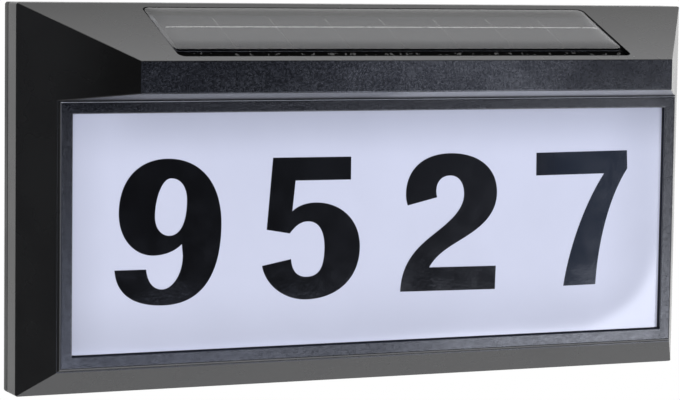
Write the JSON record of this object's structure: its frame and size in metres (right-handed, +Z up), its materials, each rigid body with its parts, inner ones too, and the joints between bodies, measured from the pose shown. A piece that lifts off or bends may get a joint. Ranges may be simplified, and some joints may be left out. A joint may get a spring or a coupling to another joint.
{
  "type": "illuminated house number sign",
  "caption": "Solar-powered wall sign with a lit opal face, black numerals and a projecting hood that carries the solar panel.",
  "frame": {"origin": "centre of the flat back face that lies on the wall", "axes": "+Z up the wall, +X to the right as the sign is read, +Y into the wall, so the face looks along -Y"},
  "size_m": [0.395, 0.087, 0.205],
  "materials": {
    "housing_plastic": "semi-gloss black moulded ABS with faint grain",
    "cover_plastic": "fine matt black moulded ABS",
    "bezel_plastic": "spark-textured black moulded ABS",
    "opal_acrylic": "glossy translucent opal acrylic, lit from behind",
    "black_vinyl": "satin black adhesive film",
    "white_plastic": "matt white reflector",
    "holder_plastic": "black moulded plastic",
    "seal_foam": "closed-cell foam",
    "seal_rubber": "soft black rubber",
    "screw_steel": "zinc-plated steel",
    "light_board": "white solder mask",
    "led_resin": "yellow phosphor",
    "lead_red": "soft insulation",
    "solar_backing": "dark glass-fibre board",
    "silicon": "blue-black silicon",
    "tinned_ribbon": "tinned copper ribbon",
    "clear_resin": "clear domed resin",
    "black_sealant": "glossy black silicone bead",
    "cell_sleeve": "shrink sleeve",
    "nickel_plate": "nickel-plated steel",
    "circuit_board": "green solder mask",
    "component_resin": "moulded component bodies",
    "switch_metal": "pressed tinned steel",
    "switch_knob": "moulded nylon"
  },
  "bodies": {
    "sign": {"back_cover": "cover_plastic", "battery_cell": "cell_sleeve", "battery_holder": "holder_plastic", "battery_lead": "lead_red", "bezel_frame": "bezel_plastic", "board_components": "component_resin", "board_screws": "screw_steel", "contact_plate": "nickel_plate", "contact_spring": "nickel_plate", "control_board": "circuit_board", "cover_screws": "screw_steel", "cover_seal": "seal_rubber", "digit_2": "black_vinyl", "digit_5": "black_vinyl", "digit_7": "black_vinyl", "digit_9": "black_vinyl", "face_panel": "opal_acrylic", "face_seal": "seal_foam", "front_housing": "housing_plastic", "holder_screws": "screw_steel", "led_chips": "led_resin", "led_leads": "lead_red", "led_strip_lower": "light_board", "led_strip_upper": "light_board", "panel_sealant": "black_sealant", "reflector_tray": "white_plastic", "solar_board": "solar_backing", "solar_busbar": "tinned_ribbon", "solar_cells": "silicon", "solar_cover": "clear_resin", "solar_lead": "lead_red", "switch_body": "switch_metal", "tray_screws": "screw_steel"},
    "switch_slider": {"switch_slider": "switch_knob"},
    "battery_door": {"battery_door": "cover_plastic", "door_seal": "seal_rubber", "door_screws": "screw_steel"}
  },
  "joints": [
    {"name": "switch_slide", "type": "slide", "parent": "sign", "child": "switch_slider", "axis": [1, 0, 0], "range_m": [0, 0.003]},
    {"name": "door_lift", "type": "slide", "parent": "sign", "child": "battery_door", "axis": [0, 1, 0], "range_m": [0, 0.03]}
  ]
}
